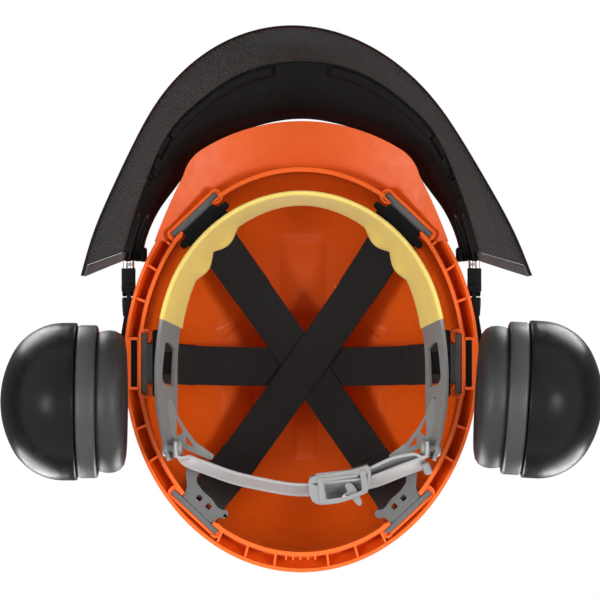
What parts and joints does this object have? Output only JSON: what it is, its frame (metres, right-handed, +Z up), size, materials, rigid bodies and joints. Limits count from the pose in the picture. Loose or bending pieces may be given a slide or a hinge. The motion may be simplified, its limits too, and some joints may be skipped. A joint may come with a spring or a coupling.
{
  "type": "hard hat",
  "caption": "Forestry hard hat with webbing suspension, a mesh visor that turns up and sprung ear muffs that swing in to the ears.",
  "frame": {"origin": "middle of the head opening, in the plane of the shell's rim", "axes": "+Z up to the crown, -Y towards the peak and visor, +X towards the wearer's left"},
  "size_m": [0.3666, 0.3309, 0.3],
  "materials": {
    "shell_orange": "glossy moulded plastic",
    "suspension_grey": "satin moulded plastic",
    "strap_grey": "satin moulded plastic",
    "webbing_black": "woven tape",
    "sweatband_yellow": "soft perforated hide",
    "cushion_black": "soft skin over foam",
    "foam_grey": "open foam",
    "steel": "bright spring steel",
    "visor_mesh": "fine black gauze",
    "trim_grey": "translucent edge trim",
    "moulding_black": "satin black plastic"
  },
  "bodies": {
    "helmet": {"shell": "shell_orange", "key_front_left": "suspension_grey", "key_front_right": "suspension_grey", "key_side_left": "suspension_grey", "key_side_right": "suspension_grey", "key_rear_left": "suspension_grey", "key_rear_right": "suspension_grey", "webbing_side": "webbing_black", "webbing_front_left": "webbing_black", "webbing_front_right": "webbing_black", "headband": "suspension_grey", "sweatband": "sweatband_yellow", "hanger_front_left": "moulding_black", "hanger_front_right": "moulding_black", "hanger_side_left": "moulding_black", "hanger_side_right": "moulding_black", "hanger_rear_left": "suspension_grey", "hanger_rear_right": "suspension_grey", "carrier_left": "moulding_black", "carrier_right": "moulding_black"},
    "visor": {"visor_frame": "moulding_black", "visor_mesh": "visor_mesh", "visor_hem": "trim_grey", "visor_edge_left": "trim_grey", "visor_edge_right": "trim_grey", "visor_knuckle_left": "moulding_black", "visor_knuckle_right": "moulding_black", "visor_pin_left": "steel", "visor_pin_right": "steel", "visor_clip_left": "steel", "visor_clip_right": "steel"},
    "nape": {"nape_strap_left": "strap_grey", "nape_strap_right": "strap_grey", "nape_rivet_left": "strap_grey", "nape_rivet_right": "strap_grey", "buckle": "strap_grey", "lever_pin": "steel"},
    "lever": {"buckle_lever": "strap_grey"},
    "bail_left": {"bail_left": "steel"},
    "slider_left": {"slider_left": "moulding_black", "cup_pin_left": "steel"},
    "muff_left": {"cup_left": "moulding_black", "cup_ring_left": "moulding_black", "cushion_left": "cushion_black", "cup_foam_left": "foam_grey"},
    "bail_right": {"bail_right": "steel"},
    "slider_right": {"slider_right": "moulding_black", "cup_pin_right": "steel"},
    "muff_right": {"cup_right": "moulding_black", "cup_ring_right": "moulding_black", "cushion_right": "cushion_black", "cup_foam_right": "foam_grey"}
  },
  "joints": [
    {"name": "visor_turn", "type": "hinge", "parent": "helmet", "child": "visor", "pos_m": [0, -0.052, 0.018], "axis": [-1, 0, 0], "range_deg": [0, 50]},
    {"name": "nape_tilt", "type": "hinge", "parent": "helmet", "child": "nape", "pos_m": [0, 0.048, -0.023], "axis": [1, 0, 0], "range_deg": [-15, 10]},
    {"name": "lever_press", "type": "hinge", "parent": "nape", "child": "lever", "pos_m": [0.02618, 0.07741, -0.023], "axis": [0, 0, -1], "range_deg": [0, 15], "stiffness_Nm_per_rad": 0.02},
    {"name": "bail_swing_left", "type": "hinge", "parent": "helmet", "child": "bail_left", "pos_m": [0.1155, -0.004, 0.02], "axis": [0, 1, 0], "range_deg": [-8, 18]},
    {"name": "height_left", "type": "slide", "parent": "bail_left", "child": "slider_left", "axis": [0, 0, 1], "range_m": [-0.012, 0]},
    {"name": "cup_rock_left", "type": "hinge", "parent": "slider_left", "child": "muff_left", "pos_m": [0.16, 0.0184, 0.001], "axis": [0, 1, 0], "range_deg": [-15, 3]},
    {"name": "bail_swing_right", "type": "hinge", "parent": "helmet", "child": "bail_right", "pos_m": [-0.1155, -0.004, 0.02], "axis": [0, -1, 0], "range_deg": [-8, 18]},
    {"name": "height_right", "type": "slide", "parent": "bail_right", "child": "slider_right", "axis": [0, 0, 1], "range_m": [-0.012, 0]},
    {"name": "cup_rock_right", "type": "hinge", "parent": "slider_right", "child": "muff_right", "pos_m": [-0.16, 0.0184, 0.001], "axis": [0, -1, 0], "range_deg": [-15, 3]}
  ]
}
